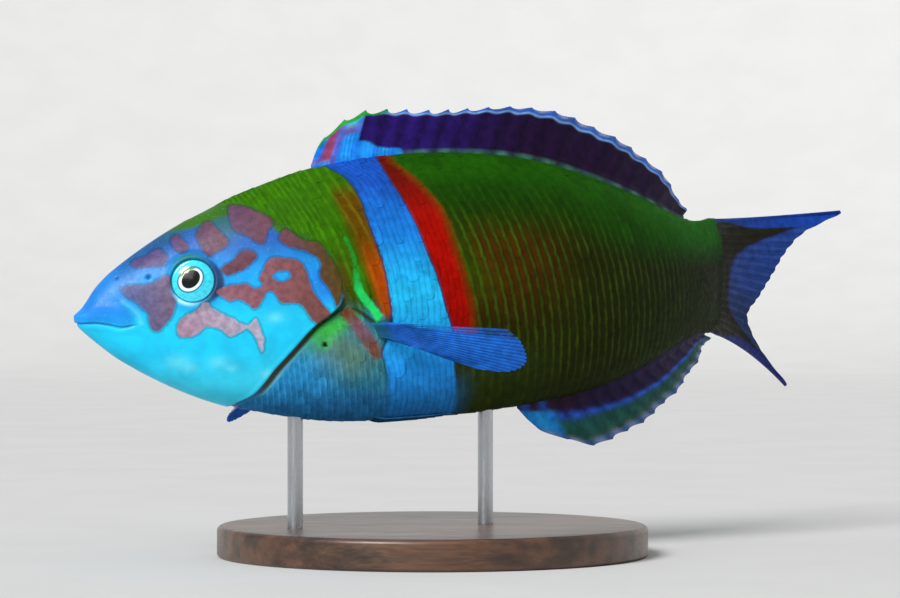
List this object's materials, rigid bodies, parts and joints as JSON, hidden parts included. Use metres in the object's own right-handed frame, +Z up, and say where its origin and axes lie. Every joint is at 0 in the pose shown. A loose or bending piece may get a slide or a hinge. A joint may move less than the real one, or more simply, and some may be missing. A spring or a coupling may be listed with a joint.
{
  "type": "ornate wrasse",
  "caption": "Deep-bodied reef fish with a forked tail, a still life-size model caught in a turn, held on a round display stand by slim rods.",
  "frame": {"origin": "centre of the stand base's underside", "axes": "+Z up, the head points to -X, the left flank faces -Y and the tail bends away towards +Y"},
  "size_m": [0.1581, 0.1407, 0.0881],
  "materials": {
    "head_skin": "wet satin",
    "body_skin": "wet satin",
    "fin": "satin, thin at the edges",
    "eye": "gloss",
    "stand_wood": "satin, dark stained",
    "stand_steel": "brushed"
  },
  "bodies": {
    "root": {"head": "head_skin", "upper_lip": "head_skin", "lower_jaw": "head_skin", "gill_cover_left": "head_skin", "gill_cover_right": "head_skin", "trunk": "body_skin", "tail_stalk": "body_skin", "eye_left": "eye", "eye_right": "eye", "pectoral_fin_left": "fin", "pectoral_fin_right": "fin", "pelvic_fin_left": "fin", "pelvic_fin_right": "fin", "dorsal_fin_spiny": "fin", "dorsal_fin_soft": "fin", "anal_fin": "fin", "tail_fin_upper": "fin", "tail_fin_lower": "fin", "stand_base": "stand_wood", "stand_rod_front": "stand_steel", "stand_rod_rear": "stand_steel"}
  },
  "joints": []
}
